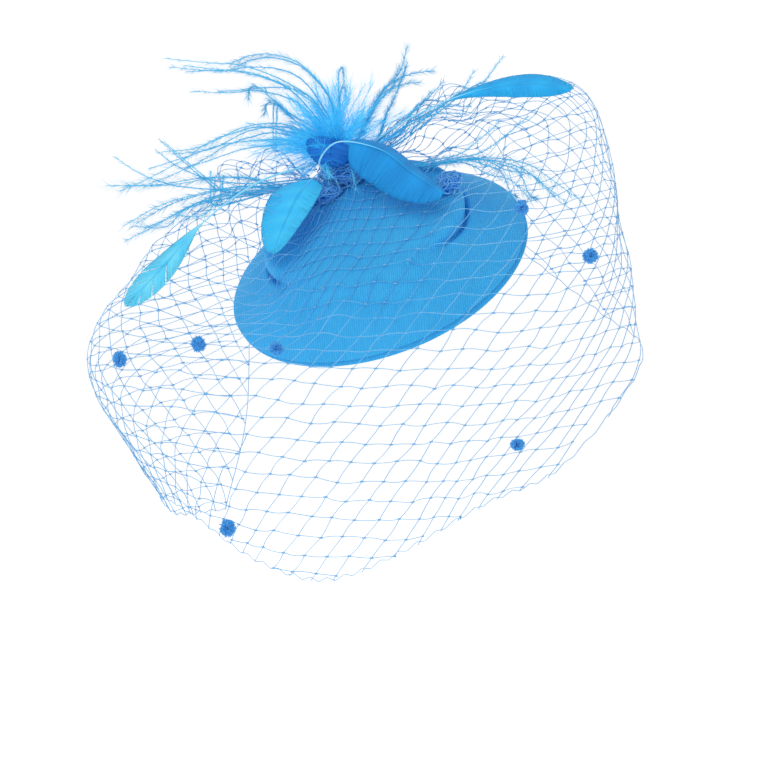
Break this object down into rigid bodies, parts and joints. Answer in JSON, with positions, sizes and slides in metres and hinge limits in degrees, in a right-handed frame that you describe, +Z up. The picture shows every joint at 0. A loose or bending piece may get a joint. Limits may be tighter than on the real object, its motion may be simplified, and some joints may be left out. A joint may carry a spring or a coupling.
{
  "type": "fascinator hat",
  "caption": "Round tilted fascinator in blue ribbed cloth with a dotted birdcage veil, curled and paddle feathers and a fluffy spray, held on a head by a clip.",
  "frame": {"origin": "middle of the hat's rim, in the rim's plane, where it sits on the head", "axes": "+Z up, -Y the way the wearer faces, +X the wearer's left; the hat is tilted forward and to the wearer's right"},
  "size_m": [0.2843, 0.1627, 0.278],
  "materials": {
    "ribbed_cloth": "matt ribbed crepe",
    "netting": "fine knotted thread",
    "chenille": "fuzzy pile",
    "feather": "soft barbs with a faint sheen",
    "steel": "plain satin"
  },
  "bodies": {
    "root": {"crown_and_brim": "ribbed_cloth", "brim_facing": "ribbed_cloth", "hair_clip": "steel", "veil_net": "netting", "veil_knot": "netting", "petal_feather_left": "feather", "petal_feather_right": "feather", "petal_feather_back": "feather", "paddle_feather_left": "feather", "paddle_feather_right": "feather", "feather_spray": "feather", "veil_dot_1": "chenille", "veil_dot_2": "chenille", "veil_dot_3": "chenille", "veil_dot_4": "chenille", "veil_dot_5": "chenille", "veil_dot_6": "chenille", "veil_dot_7": "chenille"}
  },
  "joints": []
}
